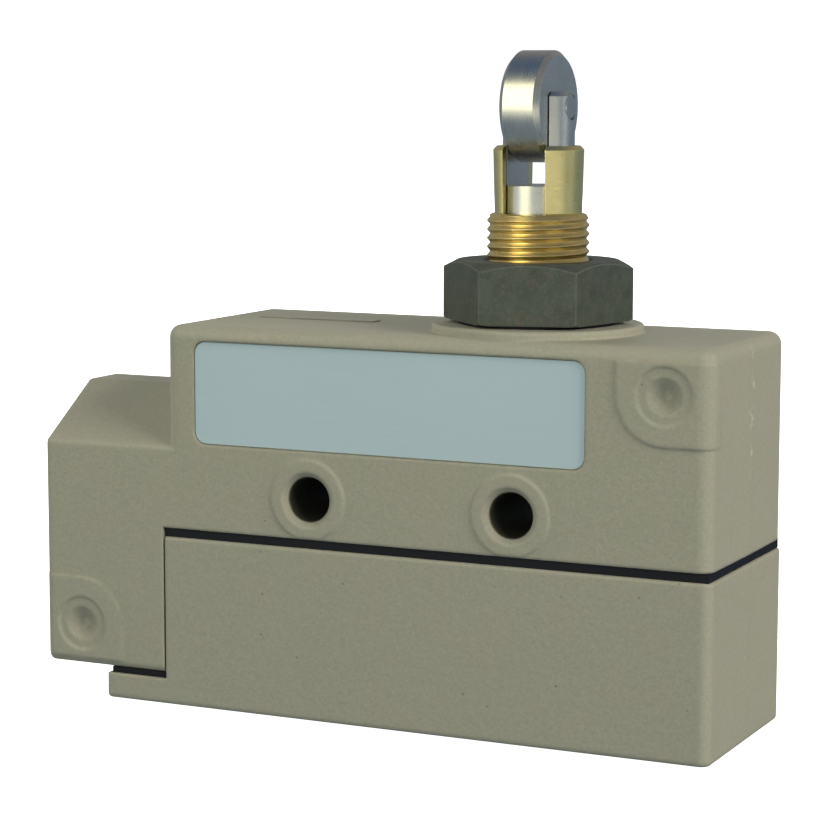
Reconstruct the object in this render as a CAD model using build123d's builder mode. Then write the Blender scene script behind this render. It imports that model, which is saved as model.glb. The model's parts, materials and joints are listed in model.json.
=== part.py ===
from build123d import *
import os

# Enclosed limit switch with a cross-roller plunger.
# Millimetres, +Z up.  +X runs along the case away from the conduit end, -Y is the
# face that carries the nameplate, +Y is the mounting face.  finish() moves every
# piece by the same small amount, so that the origin is under the middle of the
# whole case, on the plane of its bottom face.

# ---------------------------------------------------------------- case envelope
case_length = 85.12         # over the conduit end pad and the far end
case_depth = 25.4           # front face to rear face, without the seating pads
case_top = 45.4             # flat top of the upper block
pad_rise = 0.2              # raised cast pads around the holes
x_right = 42.35
x_left = x_right - case_length
cover_bottom = -0.3         # bottom face of the cover
centre_x = -(x_left + x_right) / 2
centre_z = -cover_bottom
y_face = case_depth / 2     # half depth

block_left = -25.55         # left end of the tall upper block
split_z = 21.2              # underside of the upper block
leg_right = -26.10          # right face of the conduit leg, below the split
leg_bottom = 3.55           # underside of the conduit leg
eave_z = 30.8               # where the sloped shoulder meets the front and rear
ridge_z = 37.2              # flat ridge of the shoulder
ridge_half = 2.9
mid_bulge = 0.16            # drafted end faces meet in a ridge at mid depth

cover_left = -25.85         # left end of the cover's deep part
cover_tab_left = -33.98     # left end of the tab under the leg
cover_right = 42.33
cover_top = 20.07
floor_t = 2.8               # inside of the cover floor and top of the tab
inner_half = 9.9            # half width of the switch chamber
wire_half = 10.2            # half width of the wiring space in the cover
ceiling_z = 40.35           # roof of the switch chamber

# ---------------------------------------------------------------- mounting
hole_pitch = 25.4
hole_x = (-6.69, -6.69 + hole_pitch)
hole_z = 25.83
hole_r = 2.6
hole_sink_r = 3.3
hole_pad_r = 4.7
boss_r = 4.5                # tube around each mounting hole, inside the case
corner_upper = (36.75, 40.2)
corner_lower = (-37.6, 8.55)
corner_pad_r = 5.55
corner_tap_r = 1.65
corner_tap_depth = 4.4
conduit_r = 9.315           # tapping size of a half-inch parallel conduit thread
conduit_z = 17.0

# ---------------------------------------------------------------- actuator head
ax = 16.6                   # actuator axis
head_boss_r = 12.2
head_boss_z = 46.35         # seat for the panel
seal_t = 0.35
nut_af = 19.0
nut_h = 6.9
nut_z0 = head_boss_z + seal_t
nut_turn = 15.5             # corner azimuth of the nut, degrees
thread_r = 5.9              # M12 x 1 outside thread
thread_top = 58.8
collar_r0 = 5.0             # plain collar above the thread, at its foot
collar_r1 = 5.2             # and at its shoulder
sleeve_top = 66.6
sleeve_bevel = 0.45
guide_r = 4.15              # bore that guides the plunger
retain_r = 4.6              # wider bore below it
retain_z = 52.75            # step that stops the plunger's flange
sleeve_foot = 42.05
sleeve_slot_w = 5.2
sleeve_slot_z = 58.9

travel = 5.5
plunger_r = 4.10
plunger_foot = 51.2
plunger_top = 72.7
plunger_slot_w = 5.1
plunger_slot_z = 62.1
spring_bore_r = 2.85
spring_bore_top = 60.6
roller_r = 6.35
roller_w = 4.9
roller_bevel = 0.6
roller_z = 71.0
roller_pin_r = 1.5
pusher_r = 1.5
pusher_foot = 41.65

# ---------------------------------------------------------------- switch element
sw_x0, sw_x1 = -18.55, 30.65
sw_half = 8.725
sw_z0, sw_z1 = 21.4, 40.3
sw_split = 34.0
sw_cav_half = 4.2
sw_cav_x0, sw_cav_x1 = -16.5, 29.6
sw_cav_z0, sw_cav_z1 = 31.5, 38.3
screw_sites = ((-15.8, 6.4), (28.4, -6.4))    # screws that hold the element up
rivet_sites = ((-15.8, -6.4), (28.4, 6.4))    # rivets that join its two halves
blade_z = 34.7
blade_t = 0.3
blade_hinge = (-13.2, 34.85)
blade_tip = 24.0
contact_r = 1.7
tab_z0, tab_z1 = 19.2, 20.2
term_screw_x = (-12.6, 6.0, 25.9)             # common, normally open, normally closed
long_screw_x = 36.8
short_screw_x = -29.9
ground_x, ground_y = 33.6, 6.4

os.makedirs("parts", exist_ok=True)


def finish(builder, name):
    piece = builder.part.moved(Location((centre_x, 0, centre_z)))
    piece.label = name
    export_step(piece, f"parts/{name}.step")


# ================================================================ housing
# Upper block, conduit leg with its gabled shoulder, seating pads, head boss.
with BuildPart() as housing:
    with BuildSketch(Plane.XY.offset(split_z)) as block_plan:
        with BuildLine():
            Polyline(
                (block_left, -y_face),
                (x_right - mid_bulge, -y_face),
                (x_right, 0),
                (x_right - mid_bulge, y_face),
                (block_left, y_face),
                close=True,
            )
        make_face()
    extrude(amount=case_top - split_z)
    corner_edges = (
        housing.edges()
        .filter_by(Axis.Z)
        .filter_by(lambda e: abs(e.center().Y) > y_face - 0.1)
    )
    fillet(corner_edges, 1.6)
    top_edges = housing.faces().sort_by(Axis.Z)[-1].outer_wire().edges()
    fillet(top_edges, 1.5)

    # conduit leg: gabled section run along X
    with BuildSketch(Plane.YZ.offset(x_left + pad_rise)) as leg_section:
        with BuildLine():
            Polyline(
                (-y_face, leg_bottom),
                (y_face, leg_bottom),
                (y_face, eave_z),
                (ridge_half, ridge_z),
                (-ridge_half, ridge_z),
                (-y_face, eave_z),
                close=True,
            )
        make_face()
        fillet(
            leg_section.vertices().filter_by(lambda v: v.Z > eave_z - 1), 1.6
        )
        fillet(
            leg_section.vertices().filter_by(lambda v: v.Z < leg_bottom + 1), 0.8
        )
    leg = extrude(amount=block_left + 3.0 - (x_left + pad_rise))
    end_edges = (
        housing.faces()
        .filter_by(Axis.X)
        .sort_by(Axis.X)[0]
        .outer_wire()
        .edges()
    )
    fillet(end_edges, 0.75)
    # the leg stands clear of the cover below the split
    with BuildSketch(Plane.XY.offset(leg_bottom - 1)):
        with Locations((leg_right, 0)):
            Rectangle(
                10, case_depth + 4, align=(Align.MIN, Align.CENTER)
            )
    extrude(amount=split_z - leg_bottom + 1, mode=Mode.SUBTRACT)
    # small cast relief where the tab meets the leg
    with Locations((cover_tab_left + 0.6, -y_face, leg_bottom)):
        Box(1.2, 0.6, 0.5, mode=Mode.SUBTRACT)

    # round boss that seats the panel, as wide as the case is deep
    with BuildSketch(Plane.XY.offset(case_top - 4.0)):
        with Locations((ax, 0)):
            Circle(head_boss_r)
    extrude(amount=head_boss_z - (case_top - 4.0))
    boss_rim = (
        housing.edges()
        .filter_by(GeomType.CIRCLE)
        .filter_by(lambda e: abs(e.center().Z - head_boss_z) < 0.01)
    )
    fillet(boss_rim, 0.3)

    # seating pads, front and rear: two round ones, two at the corners
    for side in (-1, 1):
        with BuildSketch(Plane.XZ.offset(-side * y_face)) as pads:
            with Locations(*[(hx, hole_z) for hx in hole_x]):
                Circle(hole_pad_r + 0.15)
            with Locations(((hole_x[0] + hole_x[1]) / 2, split_z)):
                Rectangle(
                    hole_pitch + 4 * hole_pad_r,
                    10,
                    align=(Align.CENTER, Align.MAX),
                    mode=Mode.SUBTRACT,
                )
        extrude(amount=-side * pad_rise, taper=50)
        # the front upper pad runs round the vertical corner of the block
        pad_end = x_right - mid_bulge + (0.14 if side < 0 else -1.6)
        with BuildPart(mode=Mode.PRIVATE) as upper_pad:
            with BuildSketch(Plane.XY.offset(corner_upper[1] - corner_pad_r)):
                with Locations((pad_end, side * (y_face + pad_rise))):
                    Rectangle(
                        20,
                        3.0,
                        align=(Align.MAX, Align.MIN if side < 0 else Align.MAX),
                    )
            extrude(amount=case_top - 1.5 - corner_upper[1] + corner_pad_r)
            if side < 0:
                fillet(
                    upper_pad.edges()
                    .filter_by(Axis.Z)
                    .filter_by(
                        lambda e: e.center().X > x_right - 1
                        and abs(e.center().Y) > y_face
                    ),
                    1.6 + pad_rise,
                )
            with BuildSketch(Plane.XZ.offset(-side * (y_face - 4.0))):
                with Locations(corner_upper):
                    Circle(corner_pad_r)
                with BuildLine():
                    Polyline(
                        (corner_upper[0] - corner_pad_r, corner_upper[1]),
                        (corner_upper[0] - corner_pad_r, case_top + 2),
                        (x_right + 2, case_top + 2),
                        (x_right + 2, corner_upper[1] - corner_pad_r),
                        (corner_upper[0], corner_upper[1] - corner_pad_r),
                        (corner_upper[0], corner_upper[1]),
                        close=True,
                    )
                make_face()
            extrude(amount=-side * 8.0, mode=Mode.INTERSECT)
        add(upper_pad.part)
        with BuildSketch(Plane.XZ.offset(-side * (y_face - 1.0))) as lower_pads:
            with Locations(corner_lower):
                Circle(corner_pad_r + 0.15)
            with BuildLine():
                Polyline(
                    (corner_lower[0], corner_lower[1] + corner_pad_r + 0.15),
                    (x_left + pad_rise + 0.75, corner_lower[1] + corner_pad_r + 0.15),
                    (x_left + pad_rise + 0.75, leg_bottom + 0.8),
                    (
                        corner_lower[0] + corner_pad_r + 0.15,
                        leg_bottom + 0.8,
                    ),
                    (corner_lower[0] + corner_pad_r + 0.15, corner_lower[1]),
                    (corner_lower[0], corner_lower[1]),
                    close=True,
                )
            make_face()
            with Locations((x_left + pad_rise + 0.75, corner_lower[1])):
                Rectangle(
                    10, 30, align=(Align.MAX, Align.CENTER), mode=Mode.SUBTRACT
                )
            with Locations((corner_lower[0], leg_bottom + 0.8)):
                Rectangle(
                    30, 10, align=(Align.CENTER, Align.MAX), mode=Mode.SUBTRACT
                )
        extrude(amount=-side * (1.0 + pad_rise))
    # the lower pad wraps on to the conduit end
    with BuildSketch(Plane.YZ.offset(x_left + 1.0)):
        with BuildLine():
            Polyline(
                (-y_face + 0.75, leg_bottom + 0.8),
                (y_face - 0.75, leg_bottom + 0.8),
                (y_face - 0.75, corner_lower[1] + corner_pad_r + 0.15),
                (-y_face + 0.75, corner_lower[1] + corner_pad_r + 0.15),
                close=True,
            )
        make_face()
    extrude(amount=-1.0)

    # plain raised bar on the top
    with BuildSketch(Plane.XY.offset(case_top - 0.5)):
        with Locations((-12.4, 1.5)):
            RectangleRounded(15.5, 2.4, 0.5)
    extrude(amount=0.5 + 0.12)

    # nameplate recess
    with BuildSketch(Plane.XZ.offset(y_face + 1.0)):
        with Locations((2.9, 37.55)):
            RectangleRounded(49.3, 12.2, 1.5)
    extrude(amount=-(1.0 + 0.5), mode=Mode.SUBTRACT)

    # switch chamber, open below
    with BuildSketch(Plane.XY.offset(split_z - 1)):
        with Locations(((-19.2 + 31.3) / 2, 0)):
            RectangleRounded(31.3 + 19.2, 2 * inner_half, 1.5)
    extrude(amount=ceiling_z - split_z + 1, mode=Mode.SUBTRACT)
    # cored pocket in the thick end
    with BuildSketch(Plane.XY.offset(split_z - 1)):
        with Locations((36.25, -7.05)):
            RectangleRounded(6.7, 4.5, 0.8)
    extrude(amount=14.0, mode=Mode.SUBTRACT)
    # tubes that carry the mounting holes across the chamber
    with BuildSketch(Plane.XZ.offset(-(inner_half + 0.5))):
        with Locations(*[(hx, hole_z) for hx in hole_x]):
            Circle(boss_r)
    extrude(amount=2 * inner_half + 1.0)
    # conduit entry, straight through the leg into the wiring space
    with BuildSketch(Plane.YZ.offset(x_left - 1)):
        with Locations((0, conduit_z)):
            Circle(conduit_r)
    extrude(amount=leg_right - x_left + 1, mode=Mode.SUBTRACT)
    with BuildSketch(Plane.YZ.offset(leg_right - 1)):
        with Locations((0, conduit_z)):
            Circle(conduit_r - 0.7)
    extrude(amount=-19.5 - leg_right + 1, mode=Mode.SUBTRACT)
    with BuildSketch(Plane.YZ.offset(x_left)):
        with Locations((0, conduit_z)):
            Circle(conduit_r + 0.9)
    extrude(amount=0.9, taper=45, mode=Mode.SUBTRACT)

    # mounting holes with their countersunk mouths
    with BuildSketch(Plane.XZ.offset(y_face + 1)):
        with Locations(*[(hx, hole_z) for hx in hole_x]):
            Circle(hole_r)
    extrude(amount=-(case_depth + 2), mode=Mode.SUBTRACT)
    for side in (-1, 1):
        with BuildSketch(Plane.XZ.offset(-side * (y_face + pad_rise))):
            with Locations(*[(hx, hole_z) for hx in hole_x]):
                Circle(hole_sink_r)
        extrude(amount=side * 0.7, taper=45, mode=Mode.SUBTRACT)

    # shallow ring and cone at each corner pad, front side
    for cx, cz in (corner_upper, corner_lower):
        with BuildSketch(Plane.XZ.offset(y_face + pad_rise)):
            with Locations((cx, cz)):
                Circle(3.35)
        extrude(amount=-0.22, taper=48, mode=Mode.SUBTRACT)
        with BuildSketch(Plane.XZ.offset(y_face + pad_rise - 0.22)):
            with Locations((cx, cz)):
                Circle(2.1)
        extrude(amount=-1.15, taper=55, mode=Mode.SUBTRACT)
    # tapped blind holes at the same corners, rear side
    with BuildSketch(Plane.XZ.offset(-(y_face + 1))):
        with Locations(corner_upper, corner_lower):
            Circle(corner_tap_r)
    extrude(amount=corner_tap_depth + 1, mode=Mode.SUBTRACT)

    # seat of the threaded sleeve, and the hole for the pusher under it
    with BuildSketch(Plane.XY.offset(42.0)):
        with Locations((ax, 0)):
            Circle(6.0)
    extrude(amount=10, mode=Mode.SUBTRACT)
    with BuildSketch(Plane.XY.offset(ceiling_z - 1)):
        with Locations((ax, 0)):
            Circle(2.2)
    extrude(amount=4, mode=Mode.SUBTRACT)

    # tapped holes: element screws, cover screws, ground screw
    with BuildSketch(Plane.XY.offset(ceiling_z - 0.5)):
        with Locations(*screw_sites):
            Circle(1.5)
    extrude(amount=4.4, mode=Mode.SUBTRACT)
    with BuildSketch(Plane.XY.offset(split_z - 1)):
        with Locations((long_screw_x, 0)):
            Circle(1.5)
    extrude(amount=10.5, mode=Mode.SUBTRACT)
    with BuildSketch(Plane.XY.offset(split_z - 1)):
        with Locations((ground_x, ground_y)):
            Circle(1.77)
    extrude(amount=8.5, mode=Mode.SUBTRACT)
    with BuildSketch(Plane.XY.offset(leg_bottom - 1)):
        with Locations((short_screw_x, 0)):
            Circle(1.5)
    extrude(amount=4.5, mode=Mode.SUBTRACT)
finish(housing, "housing")

# ================================================================ terminal cover
with BuildPart() as terminal_cover:
    with BuildSketch(Plane.XY.offset(cover_bottom)) as cover_plan:
        with BuildLine():
            Polyline(
                (cover_left, -y_face),
                (cover_right, -y_face),
                (cover_right, y_face),
                (cover_left, y_face),
                close=True,
            )
        make_face()
    extrude(amount=cover_top - cover_bottom)
    fillet(
        terminal_cover.edges()
        .filter_by(Axis.Z)
        .filter_by(lambda e: e.center().X > 0),
        1.25,
    )
    with BuildSketch(Plane.XY.offset(cover_bottom)):
        with Locations((cover_tab_left, 0)):
            Rectangle(
                cover_left - cover_tab_left + 1.0,
                case_depth,
                align=(Align.MIN, Align.CENTER),
            )
    extrude(amount=floor_t - cover_bottom)
    fillet(terminal_cover.faces().sort_by(Axis.Z)[0].outer_wire().edges(), 0.55)
    fillet(
        terminal_cover.faces().sort_by(Axis.Z)[-1].outer_wire().edges()
        .filter_by(lambda e: e.center().X > cover_left + 0.05),
        0.3,
    )
    # wiring space
    with BuildSketch(Plane.XY.offset(floor_t)):
        with Locations((cover_left, 0)):
            Rectangle(
                40.0 - cover_left,
                2 * wire_half,
                align=(Align.MIN, Align.CENTER),
            )
    extrude(amount=cover_top, mode=Mode.SUBTRACT)
    # pillar for the long screw, webbed to the end wall
    with BuildSketch(Plane.XY.offset(floor_t - 0.5)):
        with Locations((long_screw_x, 0)):
            Circle(4.0)
        with Locations((long_screw_x, 0)):
            Rectangle(4.0, 3.0, align=(Align.MIN, Align.CENTER))
    extrude(amount=cover_top - floor_t + 0.5)
    with BuildSketch(Plane.XY.offset(cover_bottom)):
        with Locations((long_screw_x, 0)):
            Circle(1.7)
        with Locations((short_screw_x, 0)):
            Circle(1.7)
    extrude(amount=cover_top + 1, mode=Mode.SUBTRACT)
    with BuildSketch(Plane.XY.offset(cover_bottom)):
        with Locations((long_screw_x, 0)):
            Circle(3.1)
    extrude(amount=3.0 - cover_bottom, mode=Mode.SUBTRACT)
    with BuildSketch(Plane.XY.offset(cover_bottom)):
        with Locations((short_screw_x, 0)):
            Circle(3.0)
    extrude(amount=1.75 - cover_bottom, mode=Mode.SUBTRACT)
finish(terminal_cover, "terminal_cover")

# ================================================================ cover gasket
gasket_in = 0.4             # the gasket stands back from the outer faces
with BuildPart() as cover_gasket:
    with BuildSketch(Plane.XY.offset(cover_top + 0.01)):
        with Locations((leg_right + 0.02, 0)):
            Rectangle(
                cover_right - gasket_in - leg_right - 0.02,
                case_depth - 2 * gasket_in,
                align=(Align.MIN, Align.CENTER),
            )
        with Locations((leg_right - 1, 0)):
            Rectangle(
                40.1 - leg_right + 1,
                2 * wire_half + 0.2,
                align=(Align.MIN, Align.CENTER),
                mode=Mode.SUBTRACT,
            )
        with Locations((long_screw_x, 0)):
            Circle(3.9)
        with Locations((long_screw_x, 0)):
            Rectangle(4.0, 2.8, align=(Align.MIN, Align.CENTER))
        with Locations((long_screw_x, 0)):
            Circle(1.75, mode=Mode.SUBTRACT)
    extrude(amount=split_z - cover_top - 0.02)
    with BuildSketch(Plane.YZ.offset(leg_right + 0.02)):
        with Locations((0, floor_t + 0.02)):
            Rectangle(
                case_depth - 2 * gasket_in,
                split_z - 0.01 - floor_t - 0.02,
                align=(Align.CENTER, Align.MIN),
            )
        with Locations((0, floor_t + 2.0)):
            Rectangle(
                2 * wire_half + 0.2,
                split_z,
                align=(Align.CENTER, Align.MIN),
                mode=Mode.SUBTRACT,
            )
    extrude(amount=cover_left - leg_right - 0.04)
    with BuildSketch(Plane.XY.offset(floor_t + 0.02)):
        with Locations((cover_tab_left + gasket_in, 0)):
            Rectangle(
                leg_right + 0.1 - cover_tab_left - gasket_in,
                case_depth - 2 * gasket_in,
                align=(Align.MIN, Align.CENTER),
            )
        with Locations((short_screw_x, 0)):
            Circle(1.75, mode=Mode.SUBTRACT)
    extrude(amount=leg_bottom - floor_t - 0.04)
finish(cover_gasket, "cover_gasket")

# ================================================================ cover liner
with BuildPart() as cover_liner:
    with BuildSketch(Plane.YZ.offset(-24.8)):
        with BuildLine():
            Polyline(
                (-10.15, floor_t + 0.05),
                (10.15, floor_t + 0.05),
                (10.15, 17.5),
                (9.75, 17.5),
                (9.75, floor_t + 0.45),
                (-9.75, floor_t + 0.45),
                (-9.75, 17.5),
                (-10.15, 17.5),
                close=True,
            )
        make_face()
    extrude(amount=56.6)
finish(cover_liner, "cover_liner")

# ================================================================ cover screws
with BuildPart() as long_cover_screw:
    with BuildSketch(Plane.XY.offset(0.45)):
        with Locations((long_screw_x, 0)):
            Circle(2.75)
    extrude(amount=1.75)
    fillet(long_cover_screw.faces().sort_by(Axis.Z)[0].outer_wire().edges(), 0.5)
    with BuildSketch(Plane.XY.offset(2.2)):
        with Locations((long_screw_x, 0)):
            Circle(1.47)
    extrude(amount=27.5)
    chamfer(long_cover_screw.faces().sort_by(Axis.Z)[-1].outer_wire().edges(), 0.4)
    with BuildSketch(Plane.XY.offset(0.45)):
        with Locations((long_screw_x, 0)):
            Rectangle(3.4, 0.7)
            Rectangle(0.7, 3.4)
    extrude(amount=1.1, mode=Mode.SUBTRACT)
finish(long_cover_screw, "long_cover_screw")

with BuildPart() as short_cover_screw:
    with BuildSketch(Plane.XY.offset(0.2)):
        with Locations((short_screw_x, 0)):
            Circle(2.75)
    extrude(amount=1.53)
    fillet(short_cover_screw.faces().sort_by(Axis.Z)[0].outer_wire().edges(), 0.5)
    with BuildSketch(Plane.XY.offset(1.73)):
        with Locations((short_screw_x, 0)):
            Circle(1.47)
    extrude(amount=5.1)
    chamfer(short_cover_screw.faces().sort_by(Axis.Z)[-1].outer_wire().edges(), 0.4)
    with BuildSketch(Plane.XY.offset(0.2)):
        with Locations((short_screw_x, 0)):
            Rectangle(3.4, 0.7)
            Rectangle(0.7, 3.4)
    extrude(amount=1.0, mode=Mode.SUBTRACT)
finish(short_cover_screw, "short_cover_screw")

with BuildPart() as cover_screw_seal:
    with BuildSketch(Plane.XY.offset(2.22)):
        with Locations((long_screw_x, 0)):
            Circle(2.95)
            Circle(1.55, mode=Mode.SUBTRACT)
    extrude(amount=0.76)
finish(cover_screw_seal, "cover_screw_seal")

# ================================================================ nameplate
with BuildPart() as nameplate:
    with BuildSketch(Plane.XZ.offset(y_face - 0.5)):
        with Locations((2.9, 37.55)):
            RectangleRounded(49.06, 11.96, 1.38)
    extrude(amount=0.25)
finish(nameplate, "nameplate")

# ================================================================ actuator head
with BuildPart() as threaded_sleeve:
    with BuildSketch(Plane.XZ) as sleeve_section:
        with BuildLine():
            Polyline(
                (ax + retain_r, sleeve_foot),
                (ax + thread_r - 0.5, sleeve_foot),
                (ax + thread_r, sleeve_foot + 0.5),
                (ax + thread_r, thread_top - 0.6),
                (ax + thread_r - 0.7, thread_top),
                (ax + collar_r0, thread_top + 0.15),
                (ax + collar_r1, sleeve_top - sleeve_bevel),
                (ax + collar_r1 - sleeve_bevel, sleeve_top),
                (ax + guide_r + 0.1, sleeve_top),
                (ax + guide_r, sleeve_top - 0.1),
                (ax + guide_r, retain_z),
                (ax + retain_r, retain_z),
                (ax + retain_r, sleeve_foot),
            )
        make_face()
    revolve(axis=Axis((ax, 0, 0), (0, 0, 1)))
    with BuildSketch(Plane.XY.offset(sleeve_slot_z)):
        with Locations((ax, 0)):
            Rectangle(sleeve_slot_w, 20)
    extrude(amount=20, mode=Mode.SUBTRACT)
finish(threaded_sleeve, "threaded_sleeve")

with BuildPart() as lock_nut:
    with BuildSketch(Plane.XY.offset(nut_z0)):
        with Locations((ax, 0)):
            RegularPolygon(
                nut_af / 2, 6, major_radius=False, rotation=nut_turn
            )
    extrude(amount=nut_h)
    # turned cone on the top corners
    with BuildSketch(Plane.XZ) as nut_turned:
        with BuildLine():
            Polyline(
                (ax, nut_z0),
                (ax + nut_af / 2 + 1.1, nut_z0),
                (ax + nut_af / 2 + 1.6, nut_z0 + 0.3),
                (ax + nut_af / 2 + 1.6, nut_z0 + nut_h - 0.95),
                (ax + nut_af / 2 - 0.25, nut_z0 + nut_h),
                (ax, nut_z0 + nut_h),
                close=True,
            )
        make_face()
    revolve(axis=Axis((ax, 0, 0), (0, 0, 1)), mode=Mode.INTERSECT)
    with BuildSketch(Plane.XY.offset(nut_z0)):
        with Locations((ax, 0)):
            Circle(6.0)
    extrude(amount=nut_h, mode=Mode.SUBTRACT)
    chamfer(
        lock_nut.edges()
        .filter_by(GeomType.CIRCLE)
        .filter_by(lambda e: abs(e.radius - 6.0) < 0.01),
        0.4,
    )
finish(lock_nut, "lock_nut")

with BuildPart() as panel_seal:
    with BuildSketch(Plane.XY.offset(head_boss_z + 0.005)):
        with Locations((ax, 0)):
            Circle(9.2)
            Circle(6.05, mode=Mode.SUBTRACT)
    extrude(amount=seal_t - 0.01)
finish(panel_seal, "panel_seal")

with BuildPart() as spring_seat:
    with BuildSketch(Plane.XY.offset(42.02)):
        with Locations((ax, 0)):
            Circle(4.5)
            Circle(1.75, mode=Mode.SUBTRACT)
    extrude(amount=0.5)
finish(spring_seat, "spring_seat")

wire_r = 0.25
with BuildPart() as return_spring:
    with BuildLine(Plane((ax, 0, 42.55 + wire_r))) as coil:
        Helix(
            pitch=(51.15 - 42.6 - 2 * wire_r) / 4.5,
            height=51.15 - 42.6 - 2 * wire_r,
            radius=3.85,
        )
    with BuildSketch(Plane(origin=coil.line @ 0, z_dir=coil.line % 0)):
        Circle(wire_r)
    sweep(path=coil.line, is_frenet=True)
finish(return_spring, "return_spring")

with BuildPart() as plunger:
    with BuildSketch(Plane.XZ) as plunger_section:
        with BuildLine():
            Polyline(
                (ax + spring_bore_r, plunger_foot),
                (ax + 4.52, plunger_foot),
                (ax + 4.52, plunger_foot + 1.5),
                (ax + plunger_r, plunger_foot + 1.5),
                (ax + plunger_r, 57.95),
                (ax + 3.45, 57.95),
                (ax + 3.45, 58.75),
                (ax + plunger_r, 58.75),
                (ax + plunger_r, plunger_top - 0.5),
                (ax + plunger_r - 0.5, plunger_top),
                (ax, plunger_top),
                (ax, spring_bore_top + 0.6),
                (ax + spring_bore_r, spring_bore_top),
                (ax + spring_bore_r, plunger_foot + 0.95),
                (ax + 3.2, plunger_foot + 0.95),
                (ax + 3.2, plunger_foot + 0.4),
                (ax + spring_bore_r, plunger_foot + 0.4),
                close=True,
            )
        make_face()
    revolve(axis=Axis((ax, 0, 0), (0, 0, 1)))
    with BuildSketch(Plane.XY.offset(plunger_slot_z)):
        with Locations((ax, 0)):
            Rectangle(plunger_slot_w, 20)
    extrude(amount=20, mode=Mode.SUBTRACT)
    with BuildSketch(Plane.YZ.offset(ax - 6)):
        with Locations((0, roller_z)):
            Circle(roller_pin_r + 0.01)
    extrude(amount=12, mode=Mode.SUBTRACT)
finish(plunger, "plunger")

with BuildPart() as plunger_ring:
    with BuildSketch(Plane.XZ):
        with Locations((ax + 3.795, 58.35)):
            Circle(0.32)
    revolve(axis=Axis((ax, 0, 0), (0, 0, 1)))
finish(plunger_ring, "plunger_ring")

with BuildPart() as snap_ring:
    with BuildSketch(Plane.XY.offset(plunger_foot + 0.42)):
        with Locations((ax, 0)):
            Circle(3.15)
            Circle(1.95, mode=Mode.SUBTRACT)
        with Locations((ax, 2.5)):
            Rectangle(1.4, 3.0, mode=Mode.SUBTRACT)
    extrude(amount=0.5)
finish(snap_ring, "snap_ring")

with BuildPart() as overtravel_spring:
    with BuildLine(Plane((ax, 0, 53.03 + wire_r))) as inner_coil:
        Helix(
            pitch=(60.5 - 53.03 - 2 * wire_r) / 5.0,
            height=60.5 - 53.03 - 2 * wire_r,
            radius=2.35,
        )
    with BuildSketch(
        Plane(origin=inner_coil.line @ 0, z_dir=inner_coil.line % 0)
    ):
        Circle(wire_r)
    sweep(path=inner_coil.line, is_frenet=True)
finish(overtravel_spring, "overtravel_spring")

with BuildPart() as roller_pin:
    with BuildSketch(Plane.YZ.offset(ax - 3.95)):
        with Locations((0, roller_z)):
            Circle(roller_pin_r)
    extrude(amount=7.9)
    chamfer(
        roller_pin.edges().filter_by(GeomType.CIRCLE), 0.2
    )
finish(roller_pin, "roller_pin")

with BuildPart() as roller:
    with BuildSketch(Plane.YZ.offset(ax - roller_w / 2)):
        with Locations((0, roller_z)):
            Circle(roller_r)
    extrude(amount=roller_w)
    chamfer(roller.edges().filter_by(GeomType.CIRCLE), roller_bevel)
    with BuildSketch(Plane.YZ.offset(ax - roller_w / 2)):
        with Locations((0, roller_z)):
            Circle(roller_pin_r + 0.05)
    extrude(amount=roller_w, mode=Mode.SUBTRACT)
finish(roller, "roller")

with BuildPart() as pusher:
    with BuildSketch(Plane.XZ):
        with BuildLine():
            Polyline(
                (ax, pusher_foot),
                (ax + 1.2, pusher_foot),
                (ax + pusher_r, pusher_foot + 0.3),
                (ax + pusher_r, 52.15),
                (ax + 2.6, 52.15),
                (ax + 2.6, 53.0),
                (ax + 1.6, 53.0),
                (ax + 1.6, 54.5),
                (ax + 1.3, 54.8),
                (ax, 54.8),
                close=True,
            )
        make_face()
    revolve(axis=Axis((ax, 0, 0), (0, 0, 1)))
finish(pusher, "pusher")

# ================================================================ switch element
with BuildPart() as switch_case:
    with BuildSketch(Plane.XY.offset(sw_z0)):
        with Locations(((sw_x0 + sw_x1) / 2, 0)):
            RectangleRounded(sw_x1 - sw_x0, 2 * sw_half, 0.8)
    extrude(amount=sw_split - sw_z0)
    with BuildSketch(Plane.XY.offset(sw_cav_z0)):
        with Locations(((sw_cav_x0 + sw_cav_x1) / 2, 0)):
            Rectangle(sw_cav_x1 - sw_cav_x0, 2 * sw_cav_half)
    extrude(amount=10, mode=Mode.SUBTRACT)
    # notches that straddle the mounting-hole tubes
    with BuildSketch(Plane.XZ.offset(-20)):
        with Locations(*[(hx, hole_z) for hx in hole_x]):
            Circle(boss_r + 0.15)
        with Locations(*[(hx, hole_z) for hx in hole_x]):
            Rectangle(
                2 * boss_r + 0.3, 10, align=(Align.CENTER, Align.MAX)
            )
    extrude(amount=40, mode=Mode.SUBTRACT)
    # slots for the three terminal stems
    with BuildSketch(Plane.XY.offset(sw_z0 - 1)):
        with Locations((-15.8, 0)):
            Rectangle(0.84, 5.04)
        with Locations((1.6, 0)):
            Rectangle(0.84, 5.04)
        with Locations((29.0, 0)):
            Rectangle(0.84, 5.04)
    extrude(amount=20, mode=Mode.SUBTRACT)
    with BuildSketch(Plane.XY.offset(sw_z0 - 1)):
        with Locations(*screw_sites):
            Circle(1.6)
        with Locations(*rivet_sites):
            Circle(1.02)
    extrude(amount=20, mode=Mode.SUBTRACT)
finish(switch_case, "switch_case")

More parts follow.
